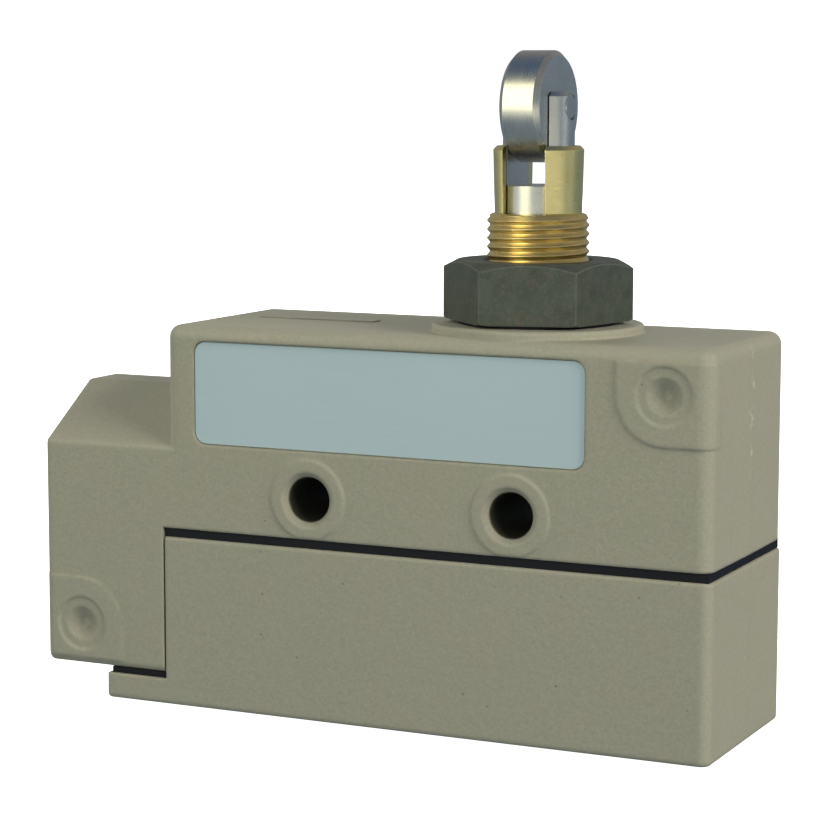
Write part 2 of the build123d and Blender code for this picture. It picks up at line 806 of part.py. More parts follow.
with BuildPart() as switch_lid:
    with BuildSketch(Plane.XY.offset(sw_split + 0.01)):
        with Locations(((sw_x0 + sw_x1) / 2, 0)):
            RectangleRounded(sw_x1 - sw_x0, 2 * sw_half, 0.8)
    extrude(amount=sw_z1 - sw_split - 0.01)
    with BuildSketch(Plane.XY.offset(sw_split - 1)):
        with Locations(((sw_cav_x0 + sw_cav_x1) / 2, 0)):
            Rectangle(sw_cav_x1 - sw_cav_x0, 2 * sw_cav_half)
    extrude(amount=sw_cav_z1 - sw_split + 1, mode=Mode.SUBTRACT)
    with BuildSketch(Plane.XY.offset(sw_split)):
        with Locations((ax, 0)):
            Circle(1.68)
        with Locations(*screw_sites):
            Circle(1.6)
        with Locations(*rivet_sites):
            Circle(1.02)
    extrude(amount=20, mode=Mode.SUBTRACT)
    with BuildSketch(Plane.XY.offset(sw_z1 - 0.8)):
        with Locations(*rivet_sites):
            Circle(1.9)
    extrude(amount=2, mode=Mode.SUBTRACT)
finish(switch_lid, "switch_lid")

with BuildPart() as switch_pin:
    with BuildSketch(Plane.XZ):
        with BuildLine():
            Polyline(
                (ax, 35.12),
                (ax + 1.0, 35.12),
                (ax + 1.6, 35.6),
                (ax + 1.6, 37.0),
                (ax + 2.4, 37.0),
                (ax + 2.4, 38.2),
                (ax + 1.6, 38.2),
                (ax + 1.6, pusher_foot - 0.31),
                (ax + 1.3, pusher_foot - 0.01),
                (ax, pusher_foot - 0.01),
                close=True,
            )
        make_face()
    revolve(axis=Axis((ax, 0, 0), (0, 0, 1)))
finish(switch_pin, "switch_pin")

with BuildPart() as common_terminal:
    with BuildSketch(Plane.XY.offset(tab_z0)):
        with Locations((-12.85, 0)):
            RectangleRounded(6.7, 7.0, 0.8)
        with Locations((term_screw_x[0], 0)):
            Circle(2.05, mode=Mode.SUBTRACT)
    extrude(amount=tab_z1 - tab_z0)
    with BuildSketch(Plane.XY.offset(tab_z0 + 0.5)):
        with Locations((-15.8, 0)):
            Rectangle(0.8, 5.0)
    extrude(amount=34.5 - tab_z0 - 0.5)
    with BuildSketch(Plane.XY.offset(33.7)):
        with Locations((-16.2, 0)):
            Rectangle(3.4, 6.4, align=(Align.MIN, Align.CENTER))
        with Locations((-14.4, 0)):
            Rectangle(
                4.0, 5.0, align=(Align.MIN, Align.CENTER), mode=Mode.SUBTRACT
            )
    extrude(amount=1.3)
    # hinge bar between the two ears
    with BuildSketch(Plane.XZ.offset(-3.2)):
        with Locations(blade_hinge):
            Circle(0.5)
    extrude(amount=6.4)
finish(common_terminal, "common_terminal")

with BuildPart() as open_terminal:
    with BuildSketch(Plane.XY.offset(tab_z0)):
        with Locations((5.3, 0)):
            RectangleRounded(8.2, 7.0, 0.8)
        with Locations((term_screw_x[1], 0)):
            Circle(2.05, mode=Mode.SUBTRACT)
    extrude(amount=tab_z1 - tab_z0)
    with BuildSketch(Plane.XY.offset(tab_z0 + 0.5)):
        with Locations((1.6, 0)):
            Rectangle(0.8, 5.0)
    extrude(amount=32.35 - tab_z0 - 0.5)
    with BuildSketch(Plane.XY.offset(31.55)):
        with Locations((1.2, 0)):
            Rectangle(24.8, 5.0, align=(Align.MIN, Align.CENTER))
    extrude(amount=0.8)
finish(open_terminal, "open_terminal")

with BuildPart() as closed_terminal:
    with BuildSketch(Plane.XY.offset(tab_z0)):
        with Locations((26.4, 0)):
            RectangleRounded(6.7, 7.0, 0.8)
        with Locations((term_screw_x[2], 0)):
            Circle(2.05, mode=Mode.SUBTRACT)
    extrude(amount=tab_z1 - tab_z0)
    with BuildSketch(Plane.XY.offset(tab_z0 + 0.5)):
        with Locations((29.0, 0)):
            Rectangle(0.8, 5.0)
    extrude(amount=37.1 - tab_z0 - 0.5)
    with BuildSketch(Plane.XY.offset(36.3)):
        with Locations((29.4, 0)):
            Rectangle(7.4, 5.0, align=(Align.MAX, Align.CENTER))
    extrude(amount=0.8)
finish(closed_terminal, "closed_terminal")

# silver contacts: the two fixed ones, and the one the blade carries
with BuildPart() as fixed_contacts:
    with BuildSketch(Plane.XY.offset(32.35)):
        with Locations((blade_tip, 0)):
            Circle(contact_r)
    extrude(amount=0.75)
    with BuildSketch(Plane.XY.offset(35.53)):
        with Locations((blade_tip, 0)):
            Circle(contact_r)
    extrude(amount=0.77)
finish(fixed_contacts, "fixed_contacts")

with BuildPart() as contact_blade:
    with BuildSketch(Plane.XY.offset(blade_z)) as blade_plan:
        with Locations((-12.62, 0)):
            Rectangle(
                25.4 + 12.62, 4.6, align=(Align.MIN, Align.CENTER)
            )
        with Locations((0.5, 1.25), (0.5, -1.25)):
            SlotOverall(17.0, 0.6, mode=Mode.SUBTRACT)
        with Locations((blade_tip, 0)):
            Circle(0.9, mode=Mode.SUBTRACT)
    extrude(amount=blade_t)
    # rolled eye that turns on the hinge bar
    with BuildSketch(Plane.XZ.offset(-2.3)):
        with Locations(blade_hinge):
            Circle(0.95)
    extrude(amount=4.6)
    with BuildSketch(Plane.XZ.offset(-2.3)):
        with Locations(blade_hinge):
            Circle(0.56)
    extrude(amount=4.6, mode=Mode.SUBTRACT)
finish(contact_blade, "contact_blade")

with BuildPart() as moving_contact:
    with BuildSketch(Plane.XY.offset(blade_z - 0.5)):
        with Locations((blade_tip, 0)):
            Circle(contact_r)
    extrude(amount=0.49)
    with BuildSketch(Plane.XY.offset(blade_z - 0.1)):
        with Locations((blade_tip, 0)):
            Circle(0.88)
    extrude(amount=0.5)
    with BuildSketch(Plane.XY.offset(blade_z + blade_t + 0.01)):
        with Locations((blade_tip, 0)):
            Circle(contact_r)
    extrude(amount=0.49)
finish(moving_contact, "moving_contact")

with BuildPart() as terminal_screws:
    for tx in term_screw_x:
        with BuildSketch(Plane.XY.offset(15.6)):
            with Locations((tx, 0)):
                Circle(3.3)
        extrude(amount=2.2)
        with BuildSketch(Plane.XY.offset(17.7)):
            with Locations((tx, 0)):
                Circle(1.95)
        extrude(amount=3.4)
        with BuildSketch(Plane.XY.offset(15.6)):
            with Locations((tx, 0)):
                Rectangle(4.4, 0.9)
                Rectangle(0.9, 4.4)
        extrude(amount=1.3, mode=Mode.SUBTRACT)
    chamfer(
        terminal_screws.edges()
        .filter_by(GeomType.CIRCLE)
        .filter_by(lambda e: abs(e.radius - 3.3) < 0.01 and e.center().Z < 16),
        0.4,
    )
finish(terminal_screws, "terminal_screws")

with BuildPart() as terminal_washers:
    for tx in term_screw_x:
        with BuildSketch(Plane.XY.offset(17.82)):
            with Locations((tx, 0)):
                RectangleRounded(6.6, 6.6, 0.8)
                Circle(2.05, mode=Mode.SUBTRACT)
        extrude(amount=1.36)
finish(terminal_washers, "terminal_washers")

with BuildPart() as switch_screws:
    for sx, sy in screw_sites:
        with BuildSketch(Plane.XY.offset(19.4)):
            with Locations((sx, sy)):
                Circle(2.5)
        extrude(amount=1.98)
        with BuildSketch(Plane.XY.offset(21.3)):
            with Locations((sx, sy)):
                Circle(1.47)
        extrude(amount=22.6)
        with BuildSketch(Plane.XY.offset(19.4)):
            with Locations((sx, sy)):
                Rectangle(3.2, 0.7)
                Rectangle(0.7, 3.2)
        extrude(amount=1.1, mode=Mode.SUBTRACT)
finish(switch_screws, "switch_screws")

with BuildPart() as switch_rivets:
    for sx, sy in rivet_sites:
        with BuildSketch(Plane.XY.offset(20.9)):
            with Locations((sx, sy)):
                Circle(1.8)
        extrude(amount=0.48)
        with BuildSketch(Plane.XY.offset(21.3)):
            with Locations((sx, sy)):
                Circle(1.0)
        extrude(amount=18.5)
        with BuildSketch(Plane.XY.offset(39.52)):
            with Locations((sx, sy)):
                Circle(1.85)
        extrude(amount=0.7)
finish(switch_rivets, "switch_rivets")

with BuildPart() as ground_screw:
    with BuildSketch(Plane.XY.offset(17.6)):
        with Locations((ground_x, ground_y)):
            Circle(2.85)
    extrude(amount=2.2)
    chamfer(ground_screw.faces().sort_by(Axis.Z)[0].outer_wire().edges(), 0.35)
    with BuildSketch(Plane.XY.offset(19.7)):
        with Locations((ground_x, ground_y)):
            Circle(1.74)
    extrude(amount=8.3)
    with BuildSketch(Plane.XY.offset(17.6)):
        with Locations((ground_x, ground_y)):
            Rectangle(3.8, 0.8)
            Rectangle(0.8, 3.8)
    extrude(amount=1.2, mode=Mode.SUBTRACT)
finish(ground_screw, "ground_screw")

with BuildPart() as ground_washer:
    with BuildSketch(Plane.XY.offset(19.82)):
        with Locations((ground_x, ground_y)):
            Circle(2.85)
            Circle(1.85, mode=Mode.SUBTRACT)
    extrude(amount=1.36)
finish(ground_washer, "ground_washer")
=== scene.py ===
import bpy, bmesh, math, json
from mathutils import Vector, Matrix


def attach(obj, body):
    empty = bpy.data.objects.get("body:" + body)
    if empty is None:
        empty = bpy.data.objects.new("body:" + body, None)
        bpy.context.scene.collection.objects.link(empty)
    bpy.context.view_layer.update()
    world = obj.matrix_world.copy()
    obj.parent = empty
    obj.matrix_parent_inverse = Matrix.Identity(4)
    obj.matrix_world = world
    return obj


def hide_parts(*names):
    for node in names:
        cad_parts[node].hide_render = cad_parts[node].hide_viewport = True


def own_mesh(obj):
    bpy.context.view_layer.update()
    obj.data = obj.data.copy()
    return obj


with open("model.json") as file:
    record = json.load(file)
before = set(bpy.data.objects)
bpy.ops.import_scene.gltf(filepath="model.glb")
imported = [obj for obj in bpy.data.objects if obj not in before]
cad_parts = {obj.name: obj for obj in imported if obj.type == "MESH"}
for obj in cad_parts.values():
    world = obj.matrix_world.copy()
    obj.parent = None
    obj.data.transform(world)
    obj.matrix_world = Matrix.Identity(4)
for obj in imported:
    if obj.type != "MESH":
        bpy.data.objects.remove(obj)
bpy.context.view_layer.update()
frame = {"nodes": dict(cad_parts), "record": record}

MM = 0.001
scene = bpy.context.scene
nodes = frame["nodes"]

# ------------------------------------------------------------------ camera
yaw, pitch, roll = math.radians(25.366), math.radians(7.268), math.radians(0.073)
fwd = Vector((-math.sin(yaw) * math.cos(pitch), math.cos(yaw) * math.cos(pitch), -math.sin(pitch)))
right = Vector((math.cos(yaw), math.sin(yaw), 0))
up = right.cross(fwd)
r2 = math.cos(roll) * right + math.sin(roll) * up
u2 = -math.sin(roll) * right + math.cos(roll) * up
cam_data = bpy.data.cameras.new("camera")
cam = bpy.data.objects.new("camera", cam_data)
scene.collection.objects.link(cam)
rot = Matrix((r2, u2, -fwd)).transposed().to_4x4()
cam.matrix_world = Matrix.Translation(Vector((0.131189, -0.273985, 0.074626))) @ rot
cam_data.sensor_width = 36.0
cam_data.lens = 2588.833 * 36.0 / 831.0
cam_data.clip_start = 0.005
cam_data.clip_end = 60.0
scene.camera = cam
scene.view_settings.view_transform = "Standard"
scene.view_settings.look = "None"

# ------------------------------------------------------------------ light levels
CARD, FILL, KEY, TOP, REAR, LEFT, SIDE = 7.6, 3.8, 10.4, 0.8, 5.0, 4.6, 0.3
ROOM, FLOOR_GLOW = 1.0, 0.98

# ------------------------------------------------------------------ helpers
def lin(c):
    c = c / 255.0
    return c / 12.92 if c <= 0.04045 else ((c + 0.055) / 1.055) ** 2.4


def srgb(r, g, b):
    return (lin(r), lin(g), lin(b), 1.0)


class Mat:
    """A small builder of one node material."""

    def __init__(self, name, color, metallic=0.0, roughness=0.5):
        self.m = bpy.data.materials.new(name)
        self.m.use_nodes = True
        self.t = self.m.node_tree
        self.b = next(n for n in self.t.nodes if n.type == "BSDF_PRINCIPLED")
        self.b.inputs["Base Color"].default_value = color
        self.b.inputs["Metallic"].default_value = metallic
        self.b.inputs["Roughness"].default_value = roughness
        self.m.diffuse_color = color
        self.coord = self.t.nodes.new("ShaderNodeTexCoord")
        self.obj = self.coord.outputs["Object"]

    def node(self, kind, **values):
        n = self.t.nodes.new(kind)
        for k, v in values.items():
            setattr(n, k, v)
        return n

    def link(self, a, b):
        self.t.links.new(a, b)

    def mapped(self, scale=(1, 1, 1), rotation=(0, 0, 0), source=None):
        n = self.node("ShaderNodeMapping")
        n.inputs["Scale"].default_value = scale
        n.inputs["Rotation"].default_value = rotation
        self.link(source or self.obj, n.inputs["Vector"])
        return n.outputs["Vector"]

    def noise(self, scale, detail=2.0, rough=0.5, vector=None, distortion=0.0):
        n = self.node("ShaderNodeTexNoise")
        n.inputs["Scale"].default_value = scale
        n.inputs["Detail"].default_value = detail
        n.inputs["Roughness"].default_value = rough
        n.inputs["Distortion"].default_value = distortion
        self.link(vector or self.obj, n.inputs["Vector"])
        return n.outputs["Fac"]

    def ramp(self, fac, stops):
        n = self.node("ShaderNodeValToRGB")
        e = n.color_ramp.elements
        while len(e) < len(stops):
            e.new(0.5)
        for i, (p, c) in enumerate(stops):
            e[i].position = p
            e[i].color = c if len(c) == 4 else (*c, 1.0)
        self.link(fac, n.inputs["Fac"])
        return n.outputs["Color"]

    def range(self, fac, a, b, c, d):
        n = self.node("ShaderNodeMapRange")
        for name, v in zip(("From Min", "From Max", "To Min", "To Max"), (a, b, c, d)):
            n.inputs[name].default_value = v
        self.link(fac, n.inputs["Value"])
        return n.outputs["Result"]

    def mix(self, fac, a, b, blend="MIX"):
        n = self.node("ShaderNodeMix", data_type="RGBA", blend_type=blend)
        for sock, v in ((n.inputs[0], fac), (n.inputs[6], a), (n.inputs[7], b)):
            if hasattr(v, "is_linked") or isinstance(v, bpy.types.NodeSocket):
                self.link(v, sock)
            else:
                sock.default_value = v
        return n.outputs[2]

    def math(self, op, a, b=0.5):
        n = self.node("ShaderNodeMath", operation=op)
        for sock, v in ((n.inputs[0], a), (n.inputs[1], b)):
            if isinstance(v, bpy.types.NodeSocket):
                self.link(v, sock)
            else:
                sock.default_value = v
        return n.outputs[0]

    def color(self, c):
        self.link(c, self.b.inputs["Base Color"])

    def rough(self, r):
        self.link(r, self.b.inputs["Roughness"])

    def bump(self, height, strength, distance, normal=None):
        n = self.node("ShaderNodeBump")
        n.inputs["Strength"].default_value = strength
        n.inputs["Distance"].default_value = distance
        self.link(height, n.inputs["Height"])
        if normal is not None:
            self.link(normal, n.inputs["Normal"])
        self.link(n.outputs["Normal"], self.b.inputs["Normal"])
        return n.outputs["Normal"]


def shade(c, k):
    return (min(1, c[0] * k), min(1, c[1] * k), min(1, c[2] * k), 1.0)


# ------------------------------------------------------------------ materials
def paint():
    base = (0.336, 0.322, 0.231, 1.0)
    m = Mat("case_paint", base, 0.0, 0.55)
    patch = m.noise(210, 3, 0.6)
    broad = m.noise(75, 3, 0.55)
    fine = m.noise(2500, 3, 0.6)
    tint = m.mix(m.range(patch, 0.38, 0.62, 0.0, 1.0), (0.322, 0.330, 0.229, 1.0), (0.346, 0.324, 0.236, 1.0))
    c = m.mix(m.range(broad, 0.35, 0.65, 0.0, 0.55), tint, shade(base, 1.05))
    c = m.mix(m.range(fine, 0.38, 0.72, 0.0, 0.8), c, (0.385, 0.372, 0.278, 1.0))
    fine_dark = m.noise(4200, 2, 0.6)
    c = m.mix(m.range(fine_dark, 0.58, 0.75, 0.0, 0.45), c, shade(base, 0.72))
    # sparse dark pits in the casting
    pits = m.node("ShaderNodeTexVoronoi")
    pits.inputs["Scale"].default_value = 330
    pits.inputs["Randomness"].default_value = 1.0
    m.link(m.obj, pits.inputs["Vector"])
    thin = m.range(m.noise(120, 2, 0.5), 0.52, 0.56, 0.0, 1.0)
    pit = m.math("MULTIPLY", m.range(pits.outputs["Distance"], 0.035, 0.065, 1.0, 0.0), thin)
    c = m.mix(m.math("MULTIPLY", pit, 0.6), c, shade(base, 0.55))
    # painted shade inside the two mounting holes: their bores are coloured near-black to stand for the shadow
    # in them
    holes = m.node("ShaderNodeSeparateXYZ")
    m.link(m.obj, holes.inputs[0])
    dz = m.math("SUBTRACT", holes.outputs["Z"], 0.02613)
    dz2 = m.math("MULTIPLY", dz, dz)
    inside = None
    for hx0 in (-0.00648, 0.01892):
        dx = m.math("SUBTRACT", holes.outputs["X"], hx0)
        d = m.math("SQRT", m.math("ADD", m.math("MULTIPLY", dx, dx), dz2), 0.0)
        one = m.range(d, 0.00262, 0.00275, 1.0, 0.0)
        inside = one if inside is None else m.math("MAXIMUM", inside, one)
    c = m.mix(inside, c, (0.045, 0.045, 0.030, 1.0))
    # lighter edges, partly painted highlight and partly wear: where a rounded normal leaves the true one, the
    # colour is lightened, as an edge highlight and as thinner paint
    soft = m.node("ShaderNodeBevel", samples=6)
    soft.inputs["Radius"].default_value = 0.00055
    geo = m.node("ShaderNodeNewGeometry")
    dot = m.node("ShaderNodeVectorMath", operation="DOT_PRODUCT")
    m.link(soft.outputs["Normal"], dot.inputs[0])
    m.link(geo.outputs["Normal"], dot.inputs[1])
    edge = m.range(dot.outputs["Value"], 0.985, 0.80, 0.0, 1.0)
    edge_wear_and_highlight = m.math("MULTIPLY", edge, m.range(m.noise(520, 4, 0.7), 0.40, 0.60, 0.10, 0.85))
    c = m.mix(edge_wear_and_highlight, c, (0.50, 0.465, 0.335, 1.0))
    # a line of pale flash marks on the parting line of the far end
    sep = m.node("ShaderNodeSeparateXYZ")
    m.link(m.obj, sep.inputs[0])
    wander = m.range(m.noise(1.0, 3, 0.7, m.mapped((90, 90, 700))), 0.3, 0.7, -0.0009, 0.0009)
    offset = m.math("SUBTRACT", m.math("SUBTRACT", sep.outputs["Y"], 0.0004), wander)
    near = m.range(m.math("ABSOLUTE", offset), 0.0001, 0.0006, 1.0, 0.0)
    end = m.range(sep.outputs["X"], 0.0420, 0.0424, 0.0, 1.0)
    low = m.range(sep.outputs["Z"], 0.0295, 0.0305, 0.0, 1.0)
    dots = m.range(m.noise(1.0, 3, 0.6, m.mapped((500, 500, 900))), 0.52, 0.68, 0.0, 0.7)
    flash = m.math("MULTIPLY", m.math("MULTIPLY", near, end), m.math("MULTIPLY", low, dots))
    c = m.mix(flash, c, (0.62, 0.58, 0.44, 1.0))
    m.color(c)
    m.rough(m.range(broad, 0.3, 0.7, 0.48, 0.60))
    grain = m.noise(2800, 3, 0.6)
    peel = m.noise(850, 2, 0.5)
    seam = m.math("MULTIPLY", m.math("MULTIPLY", near, end), 1.0)
    n0 = m.bump(seam, 0.35, 0.00012, soft.outputs["Normal"])
    n1 = m.bump(peel, 0.28, 0.00012, n0)
    n2 = m.bump(grain, 0.38, 0.00006, n1)
    m.bump(m.math("SUBTRACT", 1.0, pit), 0.5, 0.00008, n2)
    m.b.inputs["Specular IOR Level"].default_value = 0.42
    return m.m


def rubber(name="black_rubber"):
    base = (0.004, 0.0055, 0.010, 1.0)
    m = Mat(name, base, 0.0, 0.6)
    f = m.noise(3000, 3, 0.6)
    m.color(m.mix(m.range(f, 0.3, 0.7, 0.0, 1.0), base, (0.010, 0.011, 0.016, 1.0)))
    m.rough(m.range(f, 0.3, 0.7, 0.5, 0.75))
    m.bump(f, 0.3, 0.00004)
    m.b.inputs["Specular IOR Level"].default_value = 0.22
    return m.m


def steel_polished():
    base = (0.62, 0.63, 0.64, 1.0)
    m = Mat("polished_steel", base, 1.0, 0.24)
    lines = m.noise(1.0, 3, 0.6, m.mapped((9000, 260, 260)))
    rings = m.noise(1.0, 2, 0.6, m.mapped((400, 400, 5200)))
    blotch = m.noise(300, 3, 0.55)
    c = m.mix(m.range(blotch, 0.35, 0.7, 0.0, 1.0), base, (0.70, 0.70, 0.69, 1.0))
    c = m.mix(m.range(rings, 0.55, 0.75, 0.0, 0.25), c, (0.45, 0.44, 0.42, 1.0))
    soft = m.node("ShaderNodeBevel", samples=6)
    soft.inputs["Radius"].default_value = 0.00012
    m.color(c)
    m.rough(m.range(lines, 0.3, 0.7, 0.25, 0.36))
    m.bump(lines, 0.12, 0.00001, soft.outputs["Normal"])
    return m.m


def brass():
    base = (0.97, 0.75, 0.33, 1.0)
    m = Mat("brass", base, 1.0, 0.3)
    lines = m.noise(1.0, 3, 0.6, m.mapped((500, 500, 9000)))
    blotch = m.noise(350, 4, 0.6)
    # the plain collar of the sleeve is duller and yellower than the thread
    sep = m.node("ShaderNodeSeparateXYZ")
    m.link(m.obj, sep.inputs[0])
    plain = m.range(sep.outputs["Z"], 0.0589, 0.0593, 0.0, 1.0)
    c = m.mix(plain, base, (0.93, 0.82, 0.42, 1.0))
    c = m.mix(m.range(blotch, 0.3, 0.72, 0.0, 0.35), c, (0.66, 0.50, 0.20, 1.0))
    stain = m.range(m.noise(900, 4, 0.7), 0.60, 0.72, 0.0, 0.45)
    c = m.mix(stain, c, (0.36, 0.25, 0.09, 1.0))
    soft = m.node("ShaderNodeBevel", samples=6)
    soft.inputs["Radius"].default_value = 0.00015
    m.color(c)
    m.rough(m.range(lines, 0.3, 0.7, 0.26, 0.42))
    m.bump(lines, 0.12, 0.000012, soft.outputs["Normal"])
    return m.m


def nut_steel():
    base = (0.062, 0.074, 0.055, 1.0)
    m = Mat("nut_steel", base, 0.25, 0.5)
    blotch = m.noise(420, 4, 0.65)
    fine = m.noise(2600, 3, 0.6)
    red = m.noise(800, 3, 0.6)
    c = m.mix(m.range(blotch, 0.3, 0.7, 0.0, 1.0), shade(base, 0.8), shade(base, 1.25))
    c = m.mix(m.range(red, 0.52, 0.72, 0.0, 0.45), c, (0.13, 0.095, 0.08, 1.0))
    c = m.mix(m.range(fine, 0.5, 0.8, 0.0, 0.5), c, (0.15, 0.15, 0.125, 1.0))
    soft = m.node("ShaderNodeBevel", samples=6)
    soft.inputs["Radius"].default_value = 0.00035
    geo = m.node("ShaderNodeNewGeometry")
    dot = m.node("ShaderNodeVectorMath", operation="DOT_PRODUCT")
    m.link(soft.outputs["Normal"], dot.inputs[0])
    m.link(geo.outputs["Normal"], dot.inputs[1])
    edge = m.range(dot.outputs["Value"], 0.99, 0.86, 0.0, 0.55)
    c = m.mix(edge, c, (0.24, 0.24, 0.20, 1.0))
    m.color(c)
    m.rough(m.range(fine, 0.3, 0.7, 0.40, 0.58))
    m.bump(fine, 0.3, 0.00003, soft.outputs["Normal"])
    return m.m


def zinc():
    base = (0.55, 0.55, 0.52, 1.0)
    m = Mat("zinc_steel", base, 1.0, 0.35)
    f = m.noise(900, 4, 0.6)
    m.color(m.mix(m.range(f, 0.3, 0.7, 0.0, 1.0), shade(base, 0.85), (0.62, 0.60, 0.53, 1.0)))
    m.rough(m.range(f, 0.3, 0.7, 0.28, 0.45))
    m.bump(f, 0.12, 0.00001)
    return m.m


def wire():
    base = (0.42, 0.42, 0.43, 1.0)
    m = Mat("spring_steel", base, 1.0, 0.35)
    f = m.noise(2500, 3, 0.6)
    m.color(m.mix(f, shade(base, 0.8), shade(base, 1.15)))
    m.rough(m.range(f, 0.3, 0.7, 0.28, 0.42))
    m.bump(f, 0.1, 0.000008)
    return m.m


def plate():
    base = (0.455, 0.585, 0.590, 1.0)
    m = Mat("plate", base, 0.0, 0.42)
    lines = m.noise(1.0, 3, 0.6, m.mapped((120, 4000, 9000)))
    broad = m.noise(60, 2, 0.5)
    c = m.mix(m.range(lines, 0.3, 0.7, 0.0, 1.0), shade(base, 0.97), shade(base, 1.03))
    c = m.mix(m.range(broad, 0.3, 0.7, 0.0, 0.5), c, shade(base, 1.05))
    m.color(c)
    m.rough(m.range(lines, 0.3, 0.7, 0.36, 0.48))
    m.bump(lines, 0.06, 0.000006)
    return m.m


def phenolic():
    base = (0.055, 0.032, 0.02, 1.0)
    m = Mat("phenolic", base, 0.0, 0.38)
    f = m.noise(1400, 4, 0.65)
    m.color(m.mix(m.range(f, 0.35, 0.7, 0.0, 1.0), base, (0.095, 0.06, 0.035, 1.0)))
    m.rough(m.range(f, 0.3, 0.7, 0.3, 0.5))
    m.bump(f, 0.15, 0.00002)
    return m.m


def fibre():
    base = (0.20, 0.125, 0.055, 1.0)
    m = Mat("fibre", base, 0.0, 0.75)
    f = m.noise(1.0, 4, 0.65, m.mapped((400, 2200, 2200)))
    m.color(m.mix(f, shade(base, 0.8), shade(base, 1.25)))
    m.rough(m.range(f, 0.3, 0.7, 0.65, 0.85))
    m.bump(f, 0.3, 0.00003)
    return m.m


def silver():
    base = (0.75, 0.74, 0.70, 1.0)
    m = Mat("silver", base, 1.0, 0.3)
    f = m.noise(1500, 3, 0.6)
    m.color(m.mix(f, shade(base, 0.85), base))
    m.rough(m.range(f, 0.3, 0.7, 0.22, 0.4))
    m.bump(f, 0.1, 0.00001)
    return m.m


def green():
    base = (0.02, 0.16, 0.06, 1.0)
    m = Mat("green_screw", base, 0.6, 0.4)
    f = m.noise(1200, 3, 0.6)
    m.color(m.mix(f, shade(base, 0.8), shade(base, 1.3)))
    m.rough(m.range(f, 0.3, 0.7, 0.33, 0.5))
    m.bump(f, 0.12, 0.00001)
    return m.m


def pin_plastic():
    base = (0.23, 0.018, 0.012, 1.0)
    m = Mat("pin_plastic", base, 0.0, 0.3)
    f = m.noise(1000, 3, 0.6)
    m.color(m.mix(f, shade(base, 0.85), shade(base, 1.15)))
    m.rough(m.range(f, 0.3, 0.7, 0.25, 0.38))
    m.bump(f, 0.06, 0.00001)
    return m.m


def copper():
    base = (0.58, 0.30, 0.12, 1.0)
    m = Mat("blade_copper", base, 1.0, 0.32)
    f = m.noise(1.0, 3, 0.6, m.mapped((300, 6000, 6000)))
    m.color(m.mix(f, shade(base, 0.85), shade(base, 1.12)))
    m.rough(m.range(f, 0.3, 0.7, 0.26, 0.4))
    m.bump(f, 0.1, 0.00001)
    return m.m


MATS = {
    "case_paint": paint(), "black_rubber": rubber(), "fibre": fibre(), "zinc_steel": zinc(),
    "plate": plate(), "brass": brass(), "nut_steel": nut_steel(), "spring_steel": wire(),
    "phenolic": phenolic(), "silver": silver(), "green_screw": green(),
    "polished_steel": steel_polished(), "pin_plastic": pin_plastic(), "blade_copper": copper(),
}
slot_of = {s["node"]: s["material_slot"] for s in frame["record"]["subparts"]}
for name, ob in nodes.items():
    ob.data.materials.clear()
    ob.data.materials.append(MATS[slot_of[name]])

# ------------------------------------------------------------------ pieces
AX = 0.01681            # actuator axis, x
LIFT = 0.0003           # construction heights to row heights


def z_(mm):
    return mm * MM + LIFT


def make(name, verts, faces, slot, body, smooth=True, angle=35.0):
    me = bpy.data.meshes.new(name)
    me.from_pydata([tuple(v) for v in verts], [], [tuple(f) for f in faces])
    me.validate()
    bm = bmesh.new()
    bm.from_mesh(me)
    bmesh.ops.remove_doubles(bm, verts=bm.verts, dist=1e-7)
    bmesh.ops.recalc_face_normals(bm, faces=bm.faces)
    for f in bm.faces:
        f.smooth = smooth
    if smooth:
        lim = math.radians(angle)
        for e in bm.edges:
            if len(e.link_faces) == 2 and e.calc_face_angle(0) > lim:
                e.smooth = False
    bm.to_mesh(me)
    bm.free()
    ob = bpy.data.objects.new(name, me)
    scene.collection.objects.link(ob)
    me.materials.append(MATS[slot])
    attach(ob, body)
    return ob


def tube(path, radius, ring=10, closed_ends=True):
    """Verts and faces of a round wire along a list of points."""
    verts, faces = [], []
    n = len(path)
    for i, p in enumerate(path):
        t = (path[min(i + 1, n - 1)] - path[max(i - 1, 0)]).normalized()
        side = t.cross(Vector((0, 0, 1)))
        if side.length < 1e-6:
            side = Vector((1, 0, 0))
        side.normalize()
        top = side.cross(t).normalized()
        for k in range(ring):
            a = 2 * math.pi * k / ring
            verts.append(p + radius * (math.cos(a) * side + math.sin(a) * top))
    for i in range(n - 1):
        for k in range(ring):
            a, b = i * ring + k, i * ring + (k + 1) % ring
            faces.append((a, b, b + ring, a + ring))
    if closed_ends:
        faces.append(tuple(range(ring))[::-1])
        faces.append(tuple((n - 1) * ring + k for k in range(ring)))
    return verts, faces


# springs, with closed end turns
def spring(name, z0, z1, mean, wire_r, turns, body, node):
    pts = []
    dead = 1.0
    total = turns + 2 * dead
    steps = int(total * 30)
    pitch0 = 2 * wire_r * 1.02
    low, high = z0 + wire_r, z1 - wire_r
    free = (high - low - 2 * dead * pitch0) / turns
    for i in range(steps + 1):
        u = total * i / steps
        if u < dead:
            z = low + pitch0 * u
        elif u < dead + turns:
            z = low + pitch0 * dead + free * (u - dead)
        else:
            z = low + pitch0 * dead + free * turns + pitch0 * (u - dead - turns)
        a = 2 * math.pi * u
        pts.append(Vector((AX + mean * math.cos(a), mean * math.sin(a), z)))
    v, f = tube(pts, wire_r, 10)
    ob = make(name, v, f, "spring_steel", body)
    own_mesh(ob)
    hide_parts(node)
    return ob


spring("return_coil", z_(42.6), z_(51.1), 3.85 * MM, 0.22 * MM, 4.0, "case",
       "return_spring")
spring("overtravel_coil", z_(53.1), z_(60.45), 2.35 * MM, 0.22 * MM, 4.5, "plunger",
       "overtravel_spring")


